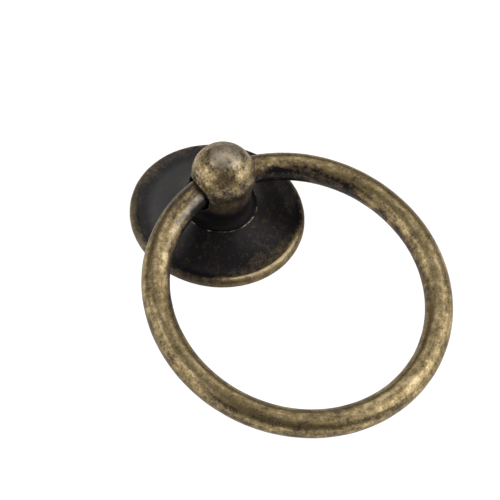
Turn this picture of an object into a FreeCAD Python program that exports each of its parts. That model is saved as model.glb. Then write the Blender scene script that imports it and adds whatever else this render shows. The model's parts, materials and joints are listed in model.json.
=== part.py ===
"""Ring pull handle: a flared back plate, a ball-headed post and a round ring that swings in its eye.

Millimetres. The origin is the middle of the back plate's back face, +Z points out of the drawer
front, and X is the axis that the ring swings about. The ring lies on the surface at -Y.
"""
import FreeCAD, Part
import math
import os
import Sketcher

START, END, CENTRE = 1, 2, 3
ORIGIN_AXIS_H, ORIGIN_AXIS_V = -1, -2
SKETCH_NORMAL = FreeCAD.Vector(0, 0, 1)

SIZES = (
    ("plate_diameter", 25.0, "outside of the rounded rim"),
    ("rim_height", 1.7, "crest of the rim above the back face"),
    ("rim_round", 0.8, "radius of the rim's rounded edge"),
    ("rim_turn", 50.0, "degrees that the rim turns over past its crest"),
    ("flare_radius", 11.0, "radius of the hollow field between the rim and the seat"),
    ("seat_height", 4.05, "flat seat of the post above the back face"),
    ("seat_margin", 0.1, "how far the seat stands out round the foot"),
    ("spigot_diameter", 6.0, "the post's tail, pressed into the plate"),
    ("tap_drill", 3.3, "minor diameter of the M4 thread"),
    ("thread_web", 0.45, "metal left between the drill's point and the eye"),
    ("foot_edge", 0.35, "straight edge of the post's foot"),
    ("foot_flare", 0.92, "radius of the cove from the foot up to the neck"),
    ("ball_diameter", 9.0, "head of the post"),
    ("ball_rise", 1.92, "centre of the ball above the hinge axis"),
    ("neck_step", 0.14, "how far the ball stands out past the neck"),
    ("hinge_rise", 4.6, "hinge axis above the seat"),
    ("eye_proud", 0.12, "how far the collar's turned ends stand out past the ball"),
    ("eye_wall", 0.45, "wall of the collar round the eye"),
    ("eye_round", 0.15, "rounding of the collar's edges"),
    ("eye_clearance", 0.18, "gap between the bowed bar and the eye"),
    ("ring_radius", 20.0, "middle line of the ring"),
    ("bar_diameter", 4.0, "the round bar that the ring is bent from"),
    ("butt_gap", 0.3, "gap between the bar's two ends, hidden in the eye"),
)

DRILL_POINT_DEGREES = 118.0

PLATE_RADIUS = "Sizes.plate_diameter / 2"
RIM_CENTRE_RADIUS = "(Sizes.plate_diameter / 2 - Sizes.rim_round)"
RIM_END_RADIUS = RIM_CENTRE_RADIUS + " - Sizes.rim_round * sin(Sizes.rim_turn * 1 deg)"
SPIGOT_RADIUS = "Sizes.spigot_diameter / 2"
NECK_RADIUS = "(Sizes.ball_diameter / 2 - Sizes.neck_step)"
FOOT_RADIUS = "(" + NECK_RADIUS + " + Sizes.foot_flare)"
HINGE_HEIGHT = "(Sizes.seat_height + Sizes.hinge_rise)"
EYE_HALF_WIDTH = "(Sizes.ball_diameter / 2 + Sizes.eye_proud)"
RING_BOW = "(Sizes.ring_radius - sqrt(Sizes.ring_radius ^ 2 - " + EYE_HALF_WIDTH + " ^ 2))"
EYE_RADIUS = "(Sizes.bar_diameter / 2 + " + RING_BOW + " / 2 + Sizes.eye_clearance)"
DRILL_POINT_HEIGHT = "Sizes.tap_drill / 2 / tan(" + str(DRILL_POINT_DEGREES / 2) + " deg)"
THREAD_DEPTH = HINGE_HEIGHT + " - " + EYE_RADIUS + " - Sizes.thread_web - " + DRILL_POINT_HEIGHT
RING_OFFSET = "(Sizes.ring_radius - " + RING_BOW + " / 2)"
RING_SLOPE = ("asin((" + HINGE_HEIGHT + " - Sizes.bar_diameter / 2) / (" + RING_OFFSET
              + " + Sizes.ring_radius))")


def point(x, y):
    """A place in a sketch."""
    return FreeCAD.Vector(x, y, 0)


def make_sheet(doc):
    """The driving dimensions, each a named cell with a note beside it."""
    sheet = doc.addObject("Spreadsheet::Sheet", "Sizes")
    for row, (alias, value, note) in enumerate(SIZES, start=1):
        sheet.set("A" + str(row), alias)
        sheet.set("B" + str(row), str(value))
        sheet.set("C" + str(row), note)
        sheet.setAlias("B" + str(row), alias)
    doc.recompute()
    return {alias: float(sheet.get(alias)) for alias, _, _ in SIZES}


def new_body(doc, name):
    """An empty body that gives its piece its name."""
    body = doc.addObject("PartDesign::Body", name)
    body.Label = name
    return body


def new_sketch(body, name, plane):
    """A sketch on one of the body's own origin planes."""
    sketch = body.newObject("Sketcher::SketchObject", name)
    support = next(item for item in body.Origin.OriginFeatures if item.Role == plane)
    sketch.AttachmentSupport = (support, "")
    sketch.MapMode = "FlatFace"
    return sketch


def drive(sketch, name, formula, kind, *where):
    """Add one dimension to a sketch and tie it to the sheet."""
    index = sketch.addConstraint(Sketcher.Constraint(kind, *where))
    sketch.renameConstraint(index, name)
    sketch.setExpression("Constraints." + name, formula)


def nearest_end(sketch, edge, corner):
    """Which end of a drawn edge lies at a corner."""
    to_start = sketch.getPoint(edge, START).distanceToPoint(corner)
    to_end = sketch.getPoint(edge, END).distanceToPoint(corner)
    return START if to_start < to_end else END


def draw_outline(sketch, corners, smooth):
    """Draw a closed outline through (corner, middle of the arc that leaves it or None).

    The corners numbered in smooth join their two edges with no kink.
    """
    edges = []
    for index, (corner, middle) in enumerate(corners):
        following = corners[(index + 1) % len(corners)][0]
        if middle is None:
            shape = Part.LineSegment(corner, following)
        else:
            shape = Part.Arc(corner, middle, following)
        edges.append(sketch.addGeometry(shape, False))
    ends = []
    for index, (corner, _) in enumerate(corners):
        before = edges[index - 1]
        ends.append((edges[index], nearest_end(sketch, edges[index], corner)))
        kind = "Tangent" if index in smooth else "Coincident"
        meeting = (before, nearest_end(sketch, before, corner), *ends[-1])
        sketch.addConstraint(Sketcher.Constraint(kind, *meeting))
    return edges, ends


def straighten(sketch, edges, level, upright):
    """Hold the listed edges level or upright."""
    for number in level:
        sketch.addConstraint(Sketcher.Constraint("Horizontal", edges[number]))
    for number in upright:
        sketch.addConstraint(Sketcher.Constraint("Vertical", edges[number]))


def on_circle(centre, radius, degrees):
    """A point of a circle, counted from the sketch's first axis."""
    turn = math.radians(degrees)
    return centre + point(radius * math.cos(turn), radius * math.sin(turn))


def revolve(body, sketch, name, kind="PartDesign::Revolution"):
    """Turn a sketch once round its upright axis, to add metal or with a Groove to take it off."""
    feature = body.newObject(kind, name)
    feature.Profile = sketch
    feature.ReferenceAxis = (sketch, ["V_Axis"])
    feature.Angle = 360
    return feature


def make_back_plate(doc, size):
    """Round plate: a thick rounded rim, a hollow field that flares up to a flat seat, and a bore."""
    body = new_body(doc, "back_plate")
    sketch = new_sketch(body, "plate_profile", "XZ_Plane")
    outside = size["plate_diameter"] / 2
    bore = size["spigot_diameter"] / 2
    round_radius = size["rim_round"]
    turn = size["rim_turn"]
    low_centre = point(outside - round_radius, round_radius)
    high_centre = point(outside - round_radius, size["rim_height"] - round_radius)
    seat_edge = point(size["ball_diameter"] / 2 - size["neck_step"] + size["foot_flare"]
                      + size["seat_margin"], size["seat_height"])
    rim_end = on_circle(high_centre, round_radius, 90 + turn)
    chord = seat_edge - rim_end
    half = chord.Length / 2
    sag = size["flare_radius"] - math.sqrt(size["flare_radius"] ** 2 - half ** 2)
    downhill = point(-abs(chord.y), -abs(chord.x)) * (sag / chord.Length)
    corners = [
        (point(bore, 0), None),
        (point(outside - round_radius, 0), on_circle(low_centre, round_radius, -45)),
        (point(outside, round_radius), None),
        (point(outside, size["rim_height"] - round_radius),
         on_circle(high_centre, round_radius, (90 + turn) / 2)),
        (rim_end, (rim_end + seat_edge) * 0.5 + downhill),
        (seat_edge, None),
        (point(bore, size["seat_height"]), None),
    ]
    edges, ends = draw_outline(sketch, corners, smooth=(1, 2, 3))
    low_round, high_round, flare = edges[1], edges[3], edges[4]
    straighten(sketch, edges, level=(0, 5), upright=(2, 6))
    sketch.addConstraint(Sketcher.Constraint("PointOnObject", *ends[0], ORIGIN_AXIS_H))
    drive(sketch, "bore_radius", SPIGOT_RADIUS, "DistanceX", *ends[0], bore)
    drive(sketch, "outside_radius", PLATE_RADIUS, "DistanceX", *ends[2], outside)
    drive(sketch, "low_rounding", "Sizes.rim_round", "Radius", low_round, round_radius)
    drive(sketch, "high_rounding", "Sizes.rim_round", "Radius", high_round, round_radius)
    drive(sketch, "rim_centre_height", "Sizes.rim_height - Sizes.rim_round",
          "DistanceY", high_round, CENTRE, high_centre.y)
    drive(sketch, "rim_end_radius", RIM_END_RADIUS, "DistanceX", *ends[4], rim_end.x)
    drive(sketch, "flare", "Sizes.flare_radius", "Radius", flare, size["flare_radius"])
    drive(sketch, "seat_radius", FOOT_RADIUS + " + Sizes.seat_margin",
          "DistanceX", *ends[5], seat_edge.x)
    drive(sketch, "seat_level", "Sizes.seat_height", "DistanceY", *ends[5], seat_edge.y)
    revolve(body, sketch, "plate_turned")
    return body


def make_post_profile(body, size):
    """Half outline of the post: spigot, foot, cove, neck and ball."""
    sketch = new_sketch(body, "post_profile", "XZ_Plane")
    spigot = size["spigot_diameter"] / 2
    ball = size["ball_diameter"] / 2
    neck = ball - size["neck_step"]
    foot = neck + size["foot_flare"]
    foot_top = size["seat_height"] + size["foot_edge"]
    cove_top = foot_top + size["foot_flare"]
    ball_centre = point(0, size["seat_height"] + size["hinge_rise"] + size["ball_rise"])
    neck_top = ball_centre.y - math.sqrt(ball ** 2 - neck ** 2)
    corners = [
        (point(0, 0), None),
        (point(spigot, 0), None),
        (point(spigot, size["seat_height"]), None),
        (point(foot, size["seat_height"]), None),
        (point(foot, foot_top), on_circle(point(foot, cove_top), size["foot_flare"], 225)),
        (point(neck, cove_top), None),
        (point(neck, neck_top), on_circle(ball_centre, ball, 30)),
        (ball_centre + point(0, ball), None),
    ]
    edges, ends = draw_outline(sketch, corners, smooth=(5,))
    cove, head = edges[4], edges[6]
    straighten(sketch, edges, level=(0, 2), upright=(1, 3, 5, 7))
    sketch.addConstraint(Sketcher.Constraint("Coincident", *ends[0], ORIGIN_AXIS_H, START))
    sketch.addConstraint(Sketcher.Constraint("PointOnObject", head, CENTRE, ORIGIN_AXIS_V))
    drive(sketch, "spigot_radius", SPIGOT_RADIUS, "DistanceX", *ends[1], spigot)
    drive(sketch, "seat_level", "Sizes.seat_height", "DistanceY", *ends[2], size["seat_height"])
    drive(sketch, "foot_radius", FOOT_RADIUS, "DistanceX", *ends[3], foot)
    drive(sketch, "foot_top", "Sizes.seat_height + Sizes.foot_edge", "DistanceY", *ends[4], foot_top)
    drive(sketch, "cove_radius", "Sizes.foot_flare", "Radius", cove, size["foot_flare"])
    drive(sketch, "neck_radius", NECK_RADIUS, "DistanceX", *ends[5], neck)
    drive(sketch, "ball_radius", "Sizes.ball_diameter / 2", "Radius", head, ball)
    drive(sketch, "ball_height", HINGE_HEIGHT + " + Sizes.ball_rise",
          "DistanceY", head, CENTRE, ball_centre.y)
    return sketch


def make_eye_circle(body, name, height, radius, formula):
    """A circle round the hinge axis, seen from the side of the post."""
    sketch = new_sketch(body, name, "YZ_Plane")
    circle = sketch.addGeometry(Part.Circle(point(0, height), SKETCH_NORMAL, radius), False)
    sketch.addConstraint(Sketcher.Constraint("PointOnObject", circle, CENTRE, ORIGIN_AXIS_V))
    drive(sketch, "radius", formula, "Radius", circle, radius)
    drive(sketch, "height", HINGE_HEIGHT, "DistanceY", circle, CENTRE, height)
    return sketch


def turn_collar_ends(body, size, half_width):
    """Turn the collar's two ends down to one round about the post's own axis."""
    sketch = new_sketch(body, "turning_profile", "YZ_Plane")
    low = size["seat_height"] + size["foot_edge"] + size["foot_flare"]
    high = size["seat_height"] + size["hinge_rise"] + size["ball_diameter"] / 2
    outside = size["ball_diameter"]
    corners = [
        (point(half_width, low), None),
        (point(outside, low), None),
        (point(outside, high), None),
        (point(half_width, high), None),
    ]
    edges, ends = draw_outline(sketch, corners, smooth=())
    straighten(sketch, edges, level=(0, 2), upright=(1, 3))
    drive(sketch, "turned_radius", EYE_HALF_WIDTH, "DistanceX", *ends[0], half_width)
    drive(sketch, "low_level", "Sizes.seat_height + Sizes.foot_edge + Sizes.foot_flare",
          "DistanceY", *ends[0], low)
    drive(sketch, "outer_radius", "Sizes.ball_diameter", "DistanceX", *ends[2], outside)
    drive(sketch, "high_level", HINGE_HEIGHT + " + Sizes.ball_diameter / 2",
          "DistanceY", *ends[2], high)
    return revolve(body, sketch, "collar_turned", "PartDesign::Groove")


def collar_edges(shape, half_width):
    """Names of the edges round the collar's two turned ends, outside and at the eye."""
    found = []
    for face in shape.Faces:
        surface = face.Surface
        if not isinstance(surface, Part.Cylinder) or abs(surface.Axis.z) < 0.999:
            continue
        if abs(surface.Radius - half_width) < 0.001:
            found.extend(edge for edge in face.Edges if not isinstance(edge.Curve, Part.Line))
    numbered = enumerate(shape.Edges, start=1)
    return ["Edge" + str(number) for number, edge in numbered
            if any(edge.isSame(other) for other in found)]


def make_post(doc, size):
    """Turned post: spigot, flared foot, neck and ball, with a cross eye and an M4 hole."""
    body = new_body(doc, "post")
    revolve(body, make_post_profile(body, size), "post_turned")
    hinge_height = size["seat_height"] + size["hinge_rise"]
    half_width = size["ball_diameter"] / 2 + size["eye_proud"]
    bow = size["ring_radius"] - math.sqrt(size["ring_radius"] ** 2 - half_width ** 2)
    eye = size["bar_diameter"] / 2 + bow / 2 + size["eye_clearance"]

    collar = body.newObject("PartDesign::Pad", "eye_collar")
    collar.Profile = make_eye_circle(body, "collar_circle", hinge_height, eye + size["eye_wall"],
                                     EYE_RADIUS + " + Sizes.eye_wall")
    collar.SideType = "Symmetric"
    collar.setExpression("Length", "2 * " + EYE_HALF_WIDTH + " + 2 * Sizes.eye_wall")
    doc.recompute()
    collar_volume = collar.Shape.Volume

    turned = turn_collar_ends(body, size, half_width)
    doc.recompute()
    turned_volume = turned.Shape.Volume
    check_cut("collar_turned", collar_volume, turned_volume)

    eye_hole = body.newObject("PartDesign::Pocket", "eye_hole")
    eye_hole.Profile = make_eye_circle(body, "hole_circle", hinge_height, eye, EYE_RADIUS)
    eye_hole.SideType = "Symmetric"
    eye_hole.setExpression("Length", "2 * " + EYE_HALF_WIDTH + " + 2 * Sizes.bar_diameter")
    doc.recompute()
    check_cut("eye_hole", turned_volume, eye_hole.Shape.Volume)

    rounding = body.newObject("PartDesign::Fillet", "collar_rounding")
    rounding.Base = (eye_hole, collar_edges(eye_hole.Shape, half_width))
    rounding.setExpression("Radius", "min(Sizes.eye_round; Sizes.eye_wall * 0.4)")
    doc.recompute()
    rounded_volume = rounding.Shape.Volume

    drill_centre = new_sketch(body, "drill_centre", "XY_Plane")
    drill_radius = size["tap_drill"] / 2
    circle = drill_centre.addGeometry(Part.Circle(point(0, 0), SKETCH_NORMAL, drill_radius), False)
    drill_centre.addConstraint(Sketcher.Constraint("Coincident", circle, CENTRE, ORIGIN_AXIS_H, START))
    drive(drill_centre, "radius", "Sizes.tap_drill / 2", "Radius", circle, drill_radius)
    doc.recompute()

    thread_hole = body.newObject("PartDesign::Hole", "thread_hole")
    thread_hole.Profile = drill_centre
    thread_hole.DepthType = "Dimension"
    thread_hole.DrillPoint = "Angled"
    thread_hole.DrillPointAngle = DRILL_POINT_DEGREES
    thread_hole.Reversed = True
    thread_hole.setExpression("Diameter", "Sizes.tap_drill")
    thread_hole.setExpression("Depth", THREAD_DEPTH)
    doc.recompute()
    check_cut("thread_hole", rounded_volume, thread_hole.Shape.Volume)
    return body


def make_ring(doc, size):
    """Round bar bent into a ring, its two ends almost meeting, laid down about the hinge axis."""
    body = new_body(doc, "ring")
    section = new_sketch(body, "bar_section", "YZ_Plane")
    radius = size["bar_diameter"] / 2
    middle = point(-size["ring_radius"], 0)
    circle = section.addGeometry(Part.Circle(middle, SKETCH_NORMAL, radius), False)
    section.addConstraint(Sketcher.Constraint("PointOnObject", circle, CENTRE, ORIGIN_AXIS_H))
    drive(section, "bar_radius", "Sizes.bar_diameter / 2", "Radius", circle, radius)
    drive(section, "middle_line", "Sizes.ring_radius", "DistanceX", circle, CENTRE,
          ORIGIN_AXIS_H, START, size["ring_radius"])
    bend = body.newObject("PartDesign::Revolution", "bar_bent")
    bend.Profile = section
    bend.ReferenceAxis = (section, ["V_Axis"])
    bend.Midplane = True
    bend.setExpression("Angle", "360 - Sizes.butt_gap / Sizes.ring_radius * 180 / pi")
    body.Placement = FreeCAD.Placement(point(0, -size["ring_radius"]),
                                       FreeCAD.Rotation(FreeCAD.Vector(1, 0, 0), 10))
    body.setExpression("Placement.Base.y", "-" + RING_OFFSET + " * cos(" + RING_SLOPE + ")")
    body.setExpression("Placement.Base.z", HINGE_HEIGHT + " - " + RING_OFFSET + " * sin("
                       + RING_SLOPE + ")")
    body.setExpression("Placement.Rotation.Angle", RING_SLOPE)
    return body


def check_cut(name, before, after):
    """A cut that points away from the solid removes nothing, so the volumes are compared."""
    if not after < before:
        raise RuntimeError(name + " removed nothing")


def check_model(doc, bodies):
    """Stop if any feature failed or any piece is not one sound solid."""
    for item in doc.Objects:
        if "Invalid" in item.State or "Error" in item.State:
            raise RuntimeError(item.Name + " failed: " + str(item.State))
    for body in bodies:
        if body.Shape.isNull() or not body.Shape.isValid() or len(body.Shape.Solids) != 1:
            raise RuntimeError(body.Label + " is not one sound solid")


def main():
    doc = FreeCAD.newDocument("ring_pull_handle")
    size = make_sheet(doc)
    bodies = [make_back_plate(doc, size), make_post(doc, size), make_ring(doc, size)]
    doc.recompute()
    check_model(doc, bodies)
    os.makedirs("parts", exist_ok=True)
    for body in bodies:
        print(body.Label, "volume %.1f mm3" % body.Shape.Volume)
        body.Shape.exportStep("parts/" + body.Label + ".step")


main()
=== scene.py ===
"""Looks of the ring pull handle: its flared back plate, ball-headed post and round ring, in antique brass."""
import json
import math

import bpy
from mathutils import Matrix, Vector


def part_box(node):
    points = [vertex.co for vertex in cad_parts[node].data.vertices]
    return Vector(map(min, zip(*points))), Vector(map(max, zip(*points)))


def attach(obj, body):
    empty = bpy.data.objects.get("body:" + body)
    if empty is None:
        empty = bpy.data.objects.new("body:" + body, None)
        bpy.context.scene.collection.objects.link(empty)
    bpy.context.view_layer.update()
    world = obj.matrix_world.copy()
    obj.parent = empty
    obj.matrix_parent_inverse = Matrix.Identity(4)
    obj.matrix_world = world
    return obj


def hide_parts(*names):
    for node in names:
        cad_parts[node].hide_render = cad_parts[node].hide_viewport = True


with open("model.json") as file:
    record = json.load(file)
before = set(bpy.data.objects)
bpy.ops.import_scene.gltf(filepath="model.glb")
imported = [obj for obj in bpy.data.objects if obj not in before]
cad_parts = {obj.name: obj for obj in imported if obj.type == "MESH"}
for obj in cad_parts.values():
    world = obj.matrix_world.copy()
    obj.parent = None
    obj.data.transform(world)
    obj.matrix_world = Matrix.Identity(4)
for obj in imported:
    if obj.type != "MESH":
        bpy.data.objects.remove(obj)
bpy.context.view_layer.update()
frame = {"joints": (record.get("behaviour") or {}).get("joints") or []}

MM = 0.001
WELD = MM / 1000
Z_AXIS = Vector((0, 0, 1))
QUARTER_TURN = math.pi / 2

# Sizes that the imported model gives, in millimetres
PLATE_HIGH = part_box("back_plate")[1] / MM
POST_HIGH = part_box("post")[1] / MM
RING_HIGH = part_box("ring")[1] / MM
HINGE_HEIGHT = frame["joints"][0]["pos_m"][2] / MM
PLATE_RADIUS = PLATE_HIGH.x
SEAT_HEIGHT = PLATE_HIGH.z
POST_TOP = POST_HIGH.z
FOOT_RADIUS = POST_HIGH.x

# The plate's outline in millimetres. A soft bend joins the rim's round to the flare, from an angle in
# degrees round the rim to a share of the flare's length.
RIM_HEIGHT = 1.7
RIM_ROUND = 0.8
RIM_TURN = math.radians(50)
RIM_BEND_START = 108
FLARE_RADIUS = 11.0
FLARE_BEND_SHARE = 0.2
SEAT_MARGIN = 0.1

# The post's outline, its eye and its tapped hole, in millimetres
SPIGOT_RADIUS = 3.0
TAIL_LOW = 0.03
FOOT_EDGE = 0.35
FOOT_FLARE = 0.92
BALL_RADIUS = 4.5
UNDER_BALL_ROUND = 3.0
EYE_PROUD = 0.12
EYE_WALL = 0.45
EYE_CLEARANCE = 0.18
DRILL_START = -1.0
DRILL_RADIUS = 1.65
DRILL_POINT = math.radians(59)
DRILL_WEB = 0.45
THREAD_RADIUS = 2.0
THREAD_PITCH = 0.7
THREAD_ROOT_OVERLAP = 0.1
THREAD_RUNOUT = 0.3
THREAD_FLANK_SHARE = 0.46

# The ring in millimetres
BAR_RADIUS = 2.0
BUTT_GAP = 0.3

# What follows from them
BALL_HEIGHT = POST_TOP - BALL_RADIUS
NECK_RADIUS = FOOT_RADIUS - FOOT_FLARE
RING_RADIUS = RING_HIGH.x - BAR_RADIUS
EYE_HALF_WIDTH = BALL_RADIUS + EYE_PROUD
RING_BOW = RING_RADIUS - math.sqrt(RING_RADIUS ** 2 - EYE_HALF_WIDTH ** 2)
EYE_RADIUS = BAR_RADIUS + RING_BOW / 2 + EYE_CLEARANCE
RING_OFFSET = RING_RADIUS - RING_BOW / 2
RING_SLOPE = math.asin((HINGE_HEIGHT - BAR_RADIUS) / (RING_OFFSET + RING_RADIUS))
RING_CENTRE = Vector((
    0, -RING_OFFSET * math.cos(RING_SLOPE), HINGE_HEIGHT - RING_OFFSET * math.sin(RING_SLOPE)))
DRILL_DEPTH = HINGE_HEIGHT - EYE_RADIUS - DRILL_WEB - DRILL_RADIUS / math.tan(DRILL_POINT)

# How finely the pieces are meshed: steps of a full turn, sides of a round, and the post's voxels in
# millimetres, with the passes that smooth them
PLATE_STEPS = 512
POST_STEPS = 192
DRILL_STEPS = 96
THREAD_STEPS = 48
RING_STEPS = 600
BAR_SIDES = 88
CYLINDER_SIDES = 160
POST_VOXEL = 0.095
SMOOTH_PASSES = 5

# Unevenness of the worn surfaces: the size and the depth of each layer of hollows, in millimetres
PLATE_WEAR = ((2.2, 0.05), (0.6, 0.015))
POST_WEAR = ((1.6, 0.04), (0.5, 0.015))
RING_WEAR = ((3.0, 0.05), (0.7, 0.015))

# Where the camera stands, in degrees and millimetres, and its focal length in pixels of a 500 pixel picture
CAMERA_AZIMUTH = math.radians(-41.448)
CAMERA_ELEVATION = math.radians(53.232)
CAMERA_ROLL = math.radians(8.854)
CAMERA_SHIFT_X = 4.734
CAMERA_SHIFT_Y = -4.472
CAMERA_DISTANCE = 470.0
CAMERA_CLIP_START = 0.01
FOCAL_PIXELS = 3302.365
PICTURE_PIXELS = 500
SENSOR_WIDTH = 36.0

# The floor, its side in metres and its depth under the handle in millimetres, and the studio round it
FLOOR_SIDE = 20
FLOOR_DROP = 0.02
FLOOR_GREY = (0.2, 0.2, 0.2, 1)
FLOOR_ROUGHNESS = 0.9
FLOOR_GLOW = 0.98
STUDIO_GREY = (0.075, 0.075, 0.078, 1)

# Soft boxes: azimuth from -Y towards +X and elevation in degrees, distance, width and height in metres,
# and radiance, where 1 is as bright as white
SOFT_BOXES = (
    ("left_soft_box", -106, 31, 0.9, 0.95, 0.85, 1.52),
    ("right_soft_box", 54, 36, 0.9, 0.95, 0.95, 1.92),
    ("back_soft_box", 148, 55, 1.0, 1.0, 0.8, 0.85),
    ("top_soft_box", 0, 86, 1.0, 0.9, 0.9, 0.18),
)


# Modelling helpers

def begin():
    """Back to object mode with nothing selected."""
    if bpy.context.object and bpy.context.object.mode != "OBJECT":
        bpy.ops.object.mode_set(mode="OBJECT")
    bpy.ops.object.select_all(action="DESELECT")


def arc(centre, radius, start, end, count):
    """Points of an arc in the plane of a profile, from one angle to another in degrees."""
    steps = [math.radians(start + (end - start) * i / count) for i in range(count + 1)]
    return [(centre[0] + radius * math.cos(a), centre[1] + radius * math.sin(a)) for a in steps]


def run(start, end, count):
    """Points of a straight stretch, both ends with them."""
    return [(start[0] + (end[0] - start[0]) * i / count, start[1] + (end[1] - start[1]) * i / count)
            for i in range(count + 1)]


def curve(start, corner, end, count):
    """Points of a soft bend from one place to another, drawn towards a corner."""
    start, corner, end = Vector(start), Vector(corner), Vector(end)
    steps = [i / count for i in range(count + 1)]
    return [tuple(start * (1 - t) ** 2 + corner * 2 * t * (1 - t) + end * t ** 2) for t in steps]


def without_repeats(points):
    """The same points, each corner once."""
    kept = points[:1]
    for point in points[1:]:
        if math.dist(point, kept[-1]) > 1e-6:
            kept.append(point)
    return kept


def merge_doubles():
    """Merge the doubled points of the mesh that is being edited."""
    bpy.ops.mesh.select_all(action="SELECT")
    bpy.ops.mesh.remove_doubles(threshold=WELD)


def face_outwards():
    """Turn all the faces of the edited mesh outwards, and go back to object mode."""
    bpy.ops.mesh.select_all(action="SELECT")
    bpy.ops.mesh.normals_make_consistent(inside=False)
    bpy.ops.object.mode_set(mode="OBJECT")


def turn_profile(name, points, steps, closed):
    """Draw a profile of (radius, height) in millimetres by extruding one vertex, and spin it round Z."""
    begin()
    bpy.ops.mesh.primitive_plane_add(size=MM)
    piece = bpy.context.object
    piece.name = name
    bpy.ops.object.mode_set(mode="EDIT")
    bpy.ops.mesh.select_mode(type="VERT")
    bpy.ops.mesh.select_all(action="SELECT")
    bpy.ops.mesh.merge(type="CENTER")
    places = [Vector((radius, 0, height)) * MM for radius, height in points]
    bpy.ops.transform.translate(value=places[0])
    for before, after in zip(places, places[1:] + places[:1] * closed):
        bpy.ops.mesh.extrude_region_move(TRANSFORM_OT_translate={"value": after - before})
    bpy.ops.mesh.select_all(action="SELECT")
    bpy.ops.mesh.spin(steps=steps, angle=math.tau, center=(0, 0, 0), axis=Z_AXIS)
    merge_doubles()
    face_outwards()
    return piece


def apply_modifier(piece, kind, **settings):
    """Add one modifier to a piece and apply it."""
    begin()
    piece.select_set(True)
    bpy.context.view_layer.objects.active = piece
    modifier = piece.modifiers.new(kind.lower(), kind)
    for key, value in settings.items():
        setattr(modifier, key, value)
    bpy.ops.object.modifier_apply(modifier=modifier.name)


def combine(piece, tool, operation):
    """Add a solid to a piece or cut it away, and remove the solid."""
    apply_modifier(piece, "BOOLEAN", object=tool, operation=operation, solver="EXACT")
    bpy.data.objects.remove(tool)


def wear_surface(piece, layers):
    """Hollow a surface unevenly, so that it never stands out past its outline."""
    for size, depth in layers:
        texture = bpy.data.textures.new(piece.name + "_wear", "CLOUDS")
        texture.noise_scale = size * MM
        texture.noise_depth = 2
        apply_modifier(piece, "DISPLACE", texture=texture, texture_coords="LOCAL", mid_level=1.0,
                       strength=depth * MM)


def cylinder(radius, length, tilt):
    """A solid cylinder, its middle on the hinge axis: upright, or along X with a quarter turn of tilt."""
    begin()
    bpy.ops.mesh.primitive_cylinder_add(
        vertices=CYLINDER_SIDES, radius=radius * MM, depth=length * MM,
        location=(0, 0, HINGE_HEIGHT * MM), rotation=(0, tilt, 0))
    bpy.ops.object.transform_apply(location=True, rotation=True, scale=True)
    return bpy.context.object


def dress(piece, body, node, finish):
    """Set a finished piece in the frame in place of its plain node."""
    begin()
    piece.select_set(True)
    bpy.context.view_layer.objects.active = piece
    bpy.ops.object.shade_smooth()
    piece.data.materials.clear()
    piece.data.materials.append(finish)
    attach(piece, body)
    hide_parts(node)


# The three pieces

def make_plate():
    """Flared round plate: flat back, rounded rim, hollow field, flat seat and a bore."""
    rim_x = PLATE_RADIUS - RIM_ROUND
    high_z = RIM_HEIGHT - RIM_ROUND
    rim_end = Vector((rim_x - RIM_ROUND * math.sin(RIM_TURN), high_z + RIM_ROUND * math.cos(RIM_TURN)))
    seat_edge = Vector((FOOT_RADIUS + SEAT_MARGIN, SEAT_HEIGHT))
    chord = seat_edge - rim_end
    rise = math.sqrt(FLARE_RADIUS ** 2 - (chord.length / 2) ** 2)
    centre = (rim_end + seat_edge) / 2 + Vector((chord.y, -chord.x)).normalized() * rise
    start = math.degrees(math.atan2(rim_end.y - centre.y, rim_end.x - centre.x))
    end = math.degrees(math.atan2(seat_edge.y - centre.y, seat_edge.x - centre.x))
    rim_arc = arc((rim_x, high_z), RIM_ROUND, 0, RIM_BEND_START, 20)
    flare_arc = arc(centre, FLARE_RADIUS, start + (end - start) * FLARE_BEND_SHARE, end, 46)
    outline = (
        run((SPIGOT_RADIUS, 0), (rim_x, 0), 12)
        + arc((rim_x, RIM_ROUND), RIM_ROUND, -90, 0, 14)
        + rim_arc
        + curve(rim_arc[-1], rim_end, flare_arc[0], 14)
        + flare_arc
        + run(seat_edge, (SPIGOT_RADIUS, SEAT_HEIGHT), 10)
        + run((SPIGOT_RADIUS, SEAT_HEIGHT), (SPIGOT_RADIUS, 0), 4)[:-1]
    )
    plate = turn_profile("flared_plate", without_repeats(outline), PLATE_STEPS, closed=True)
    wear_surface(plate, PLATE_WEAR)
    return plate


def make_thread():
    """The helical ridge that the tap cuts away past the drilled hole."""
    begin()
    bpy.ops.mesh.primitive_circle_add(vertices=3, radius=MM, fill_type="NOTHING")
    ridge = bpy.context.object
    inside = DRILL_RADIUS - THREAD_ROOT_OVERLAP
    width = THREAD_PITCH * THREAD_FLANK_SHARE
    corners = ((inside, -width), (THREAD_RADIUS, 0), (inside, width))
    for vertex, (radius, height) in zip(ridge.data.vertices, corners):
        vertex.co = Vector((radius, 0, height - THREAD_PITCH)) * MM
    turns = int((DRILL_DEPTH - THREAD_RUNOUT) / THREAD_PITCH) + 1
    apply_modifier(ridge, "SCREW", axis="Z", angle=math.tau, screw_offset=THREAD_PITCH * MM,
                   iterations=turns, steps=THREAD_STEPS, render_steps=THREAD_STEPS,
                   use_merge_vertices=False, use_smooth_shade=False)
    bpy.ops.object.mode_set(mode="EDIT")
    merge_doubles()
    bpy.ops.mesh.select_all(action="DESELECT")
    bpy.ops.mesh.select_non_manifold()
    bpy.ops.mesh.fill_holes(sides=3)
    face_outwards()
    return ridge


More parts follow.
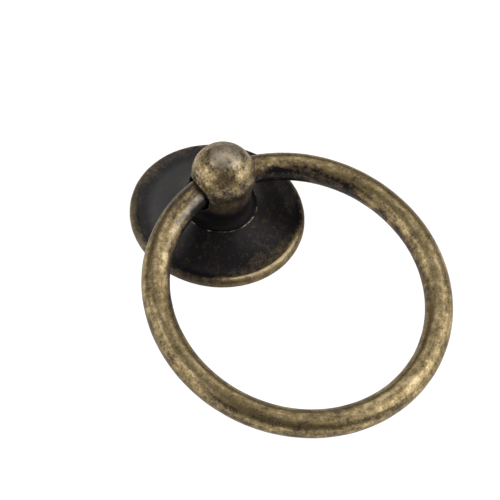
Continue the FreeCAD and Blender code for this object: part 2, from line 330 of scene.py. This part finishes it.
def make_post():
    """Turned post: tail, foot, cove, neck and ball, drilled across and tapped from behind."""
    foot_top = SEAT_HEIGHT + FOOT_EDGE
    cove_top = foot_top + FOOT_FLARE
    round_x = NECK_RADIUS + UNDER_BALL_ROUND
    reach = BALL_RADIUS + UNDER_BALL_ROUND
    under_ball = math.sqrt(reach ** 2 - round_x ** 2)
    ball_start = math.degrees(math.asin(under_ball / reach))
    outline = (
        [(0, TAIL_LOW)]
        + run((SPIGOT_RADIUS, TAIL_LOW), (SPIGOT_RADIUS, SEAT_HEIGHT), 6)
        + run((FOOT_RADIUS, SEAT_HEIGHT), (FOOT_RADIUS, foot_top), 3)
        + arc((FOOT_RADIUS, cove_top), FOOT_FLARE, -90, -180, 14)
        + arc((round_x, BALL_HEIGHT - under_ball), UNDER_BALL_ROUND, 180, 180 - ball_start, 8)
        + arc((0, BALL_HEIGHT), BALL_RADIUS, -ball_start, 90, 64)
    )
    post = turn_profile("ball_post", without_repeats(outline), POST_STEPS, closed=False)
    # Each cylinder is longer than what it trims, joins or cuts through
    collar = cylinder(EYE_RADIUS + EYE_WALL, EYE_HALF_WIDTH * 3, QUARTER_TURN)
    combine(collar, cylinder(EYE_HALF_WIDTH, EYE_HALF_WIDTH * 2, 0), "INTERSECT")
    combine(post, collar, "UNION")
    combine(post, cylinder(EYE_RADIUS, EYE_HALF_WIDTH * 4, QUARTER_TURN), "DIFFERENCE")
    drill_outline = [(0, DRILL_START), (DRILL_RADIUS, DRILL_START), (DRILL_RADIUS, DRILL_DEPTH),
                     (0, DRILL_DEPTH + DRILL_RADIUS / math.tan(DRILL_POINT))]
    combine(post, turn_profile("drill", drill_outline, DRILL_STEPS, closed=False), "DIFFERENCE")
    combine(post, make_thread(), "DIFFERENCE")
    apply_modifier(post, "REMESH", mode="VOXEL", voxel_size=POST_VOXEL * MM)
    apply_modifier(post, "SMOOTH", factor=0.5, iterations=SMOOTH_PASSES)
    wear_surface(post, POST_WEAR)
    return post


def make_ring():
    """Round bar bent almost full circle, with its two ends inside the eye."""
    begin()
    bpy.ops.mesh.primitive_circle_add(
        vertices=BAR_SIDES, radius=BAR_RADIUS * MM, fill_type="NGON",
        location=(0, RING_RADIUS * MM, 0), rotation=(0, QUARTER_TURN, 0))
    bpy.ops.object.transform_apply(location=True, rotation=True, scale=True)
    ring = bpy.context.object
    ring.name = "bent_ring"
    gap = BUTT_GAP / RING_RADIUS
    bpy.ops.object.mode_set(mode="EDIT")
    bpy.ops.mesh.select_all(action="SELECT")
    bpy.ops.transform.rotate(value=gap / 2, orient_axis="Z", center_override=(0, 0, 0))
    bpy.ops.mesh.spin(steps=RING_STEPS, angle=math.tau - gap, center=(0, 0, 0), axis=Z_AXIS)
    face_outwards()
    ring.data.transform(Matrix.Translation(RING_CENTRE * MM) @ Matrix.Rotation(RING_SLOPE, 4, "X"))
    wear_surface(ring, RING_WEAR)
    return ring


# Shader maths

class Signal:
    """A socket of a finish, so that shader maths reads as plain expressions."""

    def __init__(self, finish, socket):
        self.finish = finish
        self.socket = socket

    def __add__(self, other):
        return self.finish.math("ADD", self, other)

    __radd__ = __add__

    def __sub__(self, other):
        return self.finish.math("SUBTRACT", self, other)

    def __rsub__(self, other):
        return self.finish.math("SUBTRACT", other, self)

    def __mul__(self, other):
        return self.finish.math("MULTIPLY", self, other)

    __rmul__ = __mul__


# Sockets of a colour's Mix node, which have no names of their own
MIX_MASK = 0
MIX_LOW = 6
MIX_HIGH = 7
MIX_RESULT = 2


class Finish:
    """A material made of nodes, with its coordinates in millimetres."""

    def __init__(self, name, centre=Vector((0, 0, 0)), slope=0.0):
        self.material = bpy.data.materials.new(name)
        self.material.use_nodes = True
        self.tree = self.material.node_tree
        self.shader = self.tree.nodes["Principled BSDF"]
        place = self.node("ShaderNodeTexCoord", {}, {}, "Object")
        self.place = self.node("ShaderNodeMapping", {"vector_type": "TEXTURE"}, {
            "Vector": place, "Location": centre * MM, "Rotation": (slope, 0, 0), "Scale": (MM, MM, MM)})
        self.x, self.y, self.z = (
            self.node("ShaderNodeSeparateXYZ", {}, {0: self.place}, axis) for axis in "XYZ")

    def node(self, kind, settings, inputs, output=0):
        """Add a node: its settings, then the values or links of its sockets."""
        made = self.tree.nodes.new(kind)
        for key, value in settings.items():
            setattr(made, key, value)
        for key, value in inputs.items():
            self.feed(made.inputs[key], value)
        return Signal(self, made.outputs[output])

    def feed(self, socket, value):
        """Link a signal to a socket, or set its plain value."""
        if isinstance(value, Signal):
            self.tree.links.new(value.socket, socket)
        else:
            socket.default_value = value

    def surface(self, inputs):
        """Feed the shader's own sockets, and give the material."""
        for key, value in inputs.items():
            self.feed(self.shader.inputs[key], value)
        return self.material

    def math(self, operation, *values):
        """One Math node on signals and numbers."""
        return self.node("ShaderNodeMath", {"operation": operation}, dict(enumerate(values)))

    def hypot(self, a, b):
        """The distance that two signals make at a right angle."""
        return self.math("SQRT", a * a + b * b)

    def vector(self, x, y, z):
        """One vector of three signals."""
        return self.node("ShaderNodeCombineXYZ", {}, {0: x, 1: y, 2: z})

    def step(self, value, low, high):
        """0 below low and 1 above high, smoothly; a low above high turns it round."""
        if low > high:
            return 1 - self.step(value, high, low)
        return self.node("ShaderNodeMapRange", {"interpolation_type": "SMOOTHSTEP"},
                         {"Value": value, "From Min": low, "From Max": high})

    def band(self, value, low, full_from, full_to, high):
        """1 between the two inner limits, falling smoothly to 0 at the outer ones."""
        return self.step(value, low, full_from) * self.step(value, high, full_to)

    def noise(self, size, detail=3.0, roughness=0.55, place=None):
        """Cloudy variation about 0.5 with blotches of about a size in millimetres."""
        return self.node("ShaderNodeTexNoise", {}, {
            "Vector": place or self.place, "Scale": 1 / size, "Detail": detail, "Roughness": roughness})

    def ragged(self, value, size, amount, detail=3.0, roughness=0.55):
        """A value that wanders by up to half an amount either way, in blotches of a size."""
        return value + (self.noise(size, detail, roughness) - 0.5) * amount

    def mix(self, mask, low, high):
        """A colour between two, by a mask."""
        return self.node("ShaderNodeMix", {"data_type": "RGBA"},
                         {MIX_MASK: mask, MIX_LOW: colour(low), MIX_HIGH: colour(high)}, MIX_RESULT)

    def bump(self, height, distance):
        """Fine relief, its depth in millimetres."""
        return self.node("ShaderNodeBump", {}, {"Height": height, "Distance": distance * MM}, "Normal")


def colour(value):
    """A colour socket takes four numbers; a signal passes as it is."""
    return value if isinstance(value, Signal) else (*value, 1.0)


# The brass and what lies on it, from rubbed metal to untouched patina, and its two greys
WORN_BRASS = (0.62, 0.48, 0.272)
OLIVE_BRASS = (0.3, 0.222, 0.1)
BROWN_PATINA = (0.112, 0.08, 0.048)
BLACK_PATINA = (0.0115, 0.0098, 0.0108)
GREY_BLOOM = (0.45, 0.385, 0.315)
# Grey of painted sheen and painted highlights, and of grey dust specks
SHEEN_AND_SPECK_GREY = (0.26, 0.255, 0.25)

# Gloss of the brass and of the lacquer over it, and the depth of its grain in millimetres
BRASS_ROUGHNESS = 0.4
BRASS_SPECULAR = 0.3
BRASS_TINT = (0.58, 0.55, 0.52, 1)
LACQUER_WEIGHT = 0.2
LACQUER_ROUGHNESS = 0.22
GRAIN_DEPTH = 0.035

# The drawn bar's marks: how far they are squeezed along it, and shifted from one side to the other
DRAWN_SQUEEZE = 0.15
DRAWN_SHIFT = 0.15


def antique_brass(finish, wear_and_painted_light, bloom, unrubbed_and_shaded, mottling, smooth=0.0):
    """Brass under a dark patina that is worn back to metal, with light and shade painted into its tone.

    bloom is where it turns grey and dull. The grey mask paints sheen and highlights in grey, and grey dust
    specks. The unrubbed mask is where nothing rubs it, and on the ring's inner side it is painted shade too.
    mottling is the strength of its blotches.
    """
    broad = finish.noise(4.0, 2.0, 0.5)
    coarse = finish.noise(1.0, 4.0, 0.6)
    fine = finish.noise(0.3, 4.0, 0.65)
    mottles = (broad - 0.5) * 0.7 + (coarse - 0.5) * 1.3 + (fine - 0.5) * 1.4
    darkest = 0.12 - unrubbed_and_shaded * 0.7
    # The tone is wear, with painted shade and painted highlights mixed in by the finishes below
    tone = finish.math("MAXIMUM", wear_and_painted_light + mottles * (1 - 0.6 * unrubbed_and_shaded) * mottling, darkest)
    brown = finish.mix(finish.step(tone, -0.12, 0.2), BLACK_PATINA, BROWN_PATINA)
    olive = finish.mix(finish.step(tone, 0.14, 0.5), brown, OLIVE_BRASS)
    brass = finish.mix(finish.step(tone, 0.46, 0.95), olive, WORN_BRASS)
    cloud = finish.step(finish.noise(0.6, 4.0, 0.6) + bloom * 0.2, 0.5, 0.76)
    dull = finish.mix(finish.step(tone, 0.0, 0.6), brown, GREY_BLOOM)
    clouded = finish.mix(cloud * 0.75, brass, dull)
    metal = 0.5 + finish.step(tone, 0.1, 0.6) * 0.5 - cloud * 0.2
    polish = finish.step(tone, 0.3, 0.9) * 0.1 - cloud * 0.07 + smooth * 0.06
    grain = finish.noise(0.28, 3.0, 0.6) * 0.7 + fine * 0.3
    return finish.surface({
        "Base Color": finish.mix(smooth, clouded, SHEEN_AND_SPECK_GREY),
        "Metallic": metal + (0.95 - metal) * smooth,
        "Roughness": BRASS_ROUGHNESS - polish + unrubbed_and_shaded * 0.19,
        "Normal": finish.bump(grain, GRAIN_DEPTH),
        "Specular IOR Level": BRASS_SPECULAR,
        "Specular Tint": BRASS_TINT,
        "Coat Weight": LACQUER_WEIGHT - LACQUER_WEIGHT * unrubbed_and_shaded,
        "Coat Roughness": LACQUER_ROUGHNESS,
    })


def post_finish():
    """Golden round the ball, with a greyer crown in a browner belt of painted shade, and nearly black at the
    foot.

    Heights are above the plate's back and radii from the post's axis, in millimetres.
    """
    finish = Finish("post_brass")
    ball = finish.step(finish.ragged(finish.z, 1.2, 2.0), 9.4, 13.8)
    foot = finish.step(finish.z, 8.0, 5.0)
    radius = finish.ragged(finish.hypot(finish.x, finish.y), 1.4, 1.6)
    cap = finish.step(finish.z, 12, 13)
    crown = finish.step(radius, 2.6, 1.9) * cap
    # Painted shade: a browner belt round the crown darkens the ball where the right soft box reflects
    belt = finish.band(radius, 1.9, 2.4, 2.9, 3.4) * cap
    below_ball = finish.step(finish.z, 9.0, 7.6)
    wear_and_painted_light = ball * 0.42 + 0.09 - foot * 0.33 + crown * 0.1 - belt * 0.17
    return antique_brass(finish, wear_and_painted_light, bloom=crown, unrubbed_and_shaded=below_ball * 0.85 + 0.15 - crown * 0.15,
                         mottling=0.8 + finish.step(finish.z, 9.5, 12.5) * 0.5)


def ring_finish():
    """Rubbed along its top, and dark on the inner side, underneath and beside the eye; the dark inner side
    and the dark beside the eye are partly painted shade and partly patina.

    Its marks run along the drawn bar, and a grey streak of painted highlight lies at the left beside the eye.
    Places across the bar are in millimetres from its middle, and round the ring in degrees from the eye.
    """
    finish = Finish("ring_brass", RING_CENTRE, RING_SLOPE)
    across = finish.hypot(finish.x, finish.y) - RING_RADIUS
    from_eye = finish.math("ARCTAN2", finish.math("ABSOLUTE", finish.x), finish.y) * (180 / math.pi)
    ragged = finish.ragged(from_eye, 1.5, 26)
    # Painted shade: darker beside the eye, where the ball shades the bar, over a darker patina
    beside_eye = finish.step(ragged, 36, 12)
    left = finish.step(finish.x, 2, -2)
    # Painted highlight: a grey streak along the left bar beside the eye, where the left soft box reflects
    streak = finish.band(across, -1.6, -1.1, -0.8, -0.4)
    smooth = finish.step(ragged, 52, 24) * left * streak * 0.42
    shaded_right = finish.band(from_eye, 14, 26, 34, 72) * (1 - left)
    shaded = shaded_right + finish.step(from_eye, 115, 70) * left * 0.15 + left * 0.35
    # Painted shade along the inner side, wider near the eye, over the darker patina there
    inner = finish.step(finish.ragged(across, 2.0, 1.1) - shaded * 0.9, -1.15, -2.3) * (1 - smooth)
    under = finish.step(finish.z, 0.5, -1.5)
    outer = finish.step(across, 0.7, 1.7)
    along = from_eye * (math.pi / 180 * RING_RADIUS * DRAWN_SQUEEZE)
    drawn_place = finish.vector(across, finish.z + finish.x * DRAWN_SHIFT, along)
    drawn = finish.noise(0.8, place=drawn_place) - 0.5
    wear_and_painted_light = 0.57 + drawn - inner * 0.43 - beside_eye * 0.28 - under * 0.2 - outer * 0.14 - shaded * 0.1
    return antique_brass(finish, wear_and_painted_light, bloom=-0.3, unrubbed_and_shaded=inner * 0.45, mottling=0.8, smooth=smooth)


def plate_finish():
    """Nearly black with grey specks, a painted grey sheen at the far left, and worn to brass along the rim.

    The rim's crest is worn most on the near side, where a painted highlight lies on it too, and the seam
    round the foot shows in patches, a worn edge with a painted glint.
    Radii and heights are in millimetres.
    """
    finish = Finish("plate_patina_and_painted_light")
    radius = finish.hypot(finish.x, finish.y)
    ragged = finish.ragged(radius, 0.8, 1.3, 4.0, 0.65)
    near_side = finish.step(0 - finish.y - finish.math("ABSOLUTE", finish.x - 1.5) * 0.6, 2.5, 8.5)
    # Painted sheen: the far left is lighter and greyer, where it faces the left and back soft boxes
    far_left = finish.step(finish.y * 0.77 - finish.x * 0.64, 0.5, 7.5)
    rim = finish.step(ragged, 11.6, 12.2)
    # Painted highlight: the crest on the near side is brighter where the right soft box reflects, over real
    # wear
    crest = near_side * finish.step(ragged, 11.15, 11.5) * finish.step(radius, 12.15, 11.8)
    # Lighter towards the rim on the near side, and at the far left as painted sheen
    beside_crest = finish.step(radius, 8.5, 11.3) * near_side
    beside_far_rim = finish.step(radius, 10.4, 11.9) * far_left
    beside_rim = beside_crest * 0.16 + beside_far_rim * 0.14
    # Painted glint: bright patches along the seam round the foot, over a worn edge
    seat_edge = finish.band(radius, 5.26, 5.36, 5.42, 5.5) * finish.step(finish.z, 3.4, 3.9)
    seam = seat_edge * finish.step(finish.noise(1.1), 0.47, 0.69)
    wear_and_painted_light = rim * 0.26 + crest * 0.78 + beside_rim + seam * 0.62 - 0.12
    specks = finish.step(finish.noise(0.24, 2.0, 0.5), 0.63, 0.75) * (1 - rim) * (0.1 + near_side * 0.12)
    # Painted grey sheen at the far left, and grey dust specks
    smooth = far_left * (0.1 + finish.step(radius, 10.6, 8.8) * 0.3) + specks
    return antique_brass(finish, wear_and_painted_light, bloom=seam * 2, unrubbed_and_shaded=0.6 - crest * 0.6,
                         mottling=0.6 + crest * 0.4, smooth=smooth)


# Stage, lamps and camera

def make_floor():
    """Pale floor that keeps the handle's shadow, and glows only where the camera or the metal sees it."""
    begin()
    bpy.ops.mesh.primitive_plane_add(size=FLOOR_SIDE, location=(0, 0, -FLOOR_DROP * MM))
    floor = bpy.context.object
    floor.name = "floor"
    finish = Finish("pale_floor")
    seen = [finish.node("ShaderNodeLightPath", {}, {}, kind)
            for kind in ("Is Camera Ray", "Is Glossy Ray", "Is Transmission Ray")]
    seen_at_all = finish.math("MINIMUM", seen[0] + seen[1] + seen[2], 1.0)
    floor.data.materials.append(finish.surface({
        "Base Color": FLOOR_GREY,
        "Roughness": FLOOR_ROUGHNESS,
        "Emission Color": finish.mix(seen_at_all, (0, 0, 0), (1, 1, 1)),
        "Emission Strength": FLOOR_GLOW,
    }))


def make_world():
    """Dim grey studio."""
    world = bpy.data.worlds.new("studio")
    bpy.context.scene.world = world
    world.use_nodes = True
    background = world.node_tree.nodes["Background"]
    background.inputs["Color"].default_value = STUDIO_GREY
    background.inputs["Strength"].default_value = 1.0


def add_soft_box(name, azimuth, elevation, distance, width, height, radiance):
    """A lamp of a soft box's size, aimed at the handle."""
    turn, rise = math.radians(azimuth), math.radians(elevation)
    aim = Vector((math.sin(turn) * math.cos(rise), -math.cos(turn) * math.cos(rise), math.sin(rise)))
    light = bpy.data.lights.new(name, "AREA")
    light.shape = "RECTANGLE"
    light.size = width
    light.size_y = height
    light.energy = radiance * math.pi * width * height
    lamp = bpy.data.objects.new(name, light)
    lamp.location = aim * distance
    lamp.rotation_euler = aim.to_track_quat("Z", "Y").to_euler()
    bpy.context.scene.collection.objects.link(lamp)


def make_camera():
    """The camera as the photograph has it."""
    back = Vector((math.sin(CAMERA_AZIMUTH) * math.cos(CAMERA_ELEVATION),
                   -math.cos(CAMERA_AZIMUTH) * math.cos(CAMERA_ELEVATION), math.sin(CAMERA_ELEVATION)))
    level = Vector((math.cos(CAMERA_AZIMUTH), math.sin(CAMERA_AZIMUTH), 0))
    upright = back.cross(level)
    right = math.cos(CAMERA_ROLL) * level + math.sin(CAMERA_ROLL) * upright
    up = math.cos(CAMERA_ROLL) * upright - math.sin(CAMERA_ROLL) * level
    place = (back * CAMERA_DISTANCE + right * CAMERA_SHIFT_X + up * CAMERA_SHIFT_Y) * MM
    data = bpy.data.cameras.new("camera")
    data.sensor_width = SENSOR_WIDTH
    data.lens = FOCAL_PIXELS * SENSOR_WIDTH / PICTURE_PIXELS
    data.clip_start = CAMERA_CLIP_START
    camera = bpy.data.objects.new("camera", data)
    camera.matrix_world = Matrix.Translation(place) @ Matrix((right, up, back)).transposed().to_4x4()
    bpy.context.scene.collection.objects.link(camera)
    bpy.context.scene.camera = camera


make_camera()
make_floor()
make_world()
for soft_box in SOFT_BOXES:
    add_soft_box(*soft_box)

dress(make_plate(), "mounting", "back_plate", plate_finish())
dress(make_post(), "mounting", "post", post_finish())
dress(make_ring(), "ring", "ring", ring_finish())

bpy.context.scene.view_settings.view_transform = "Standard"
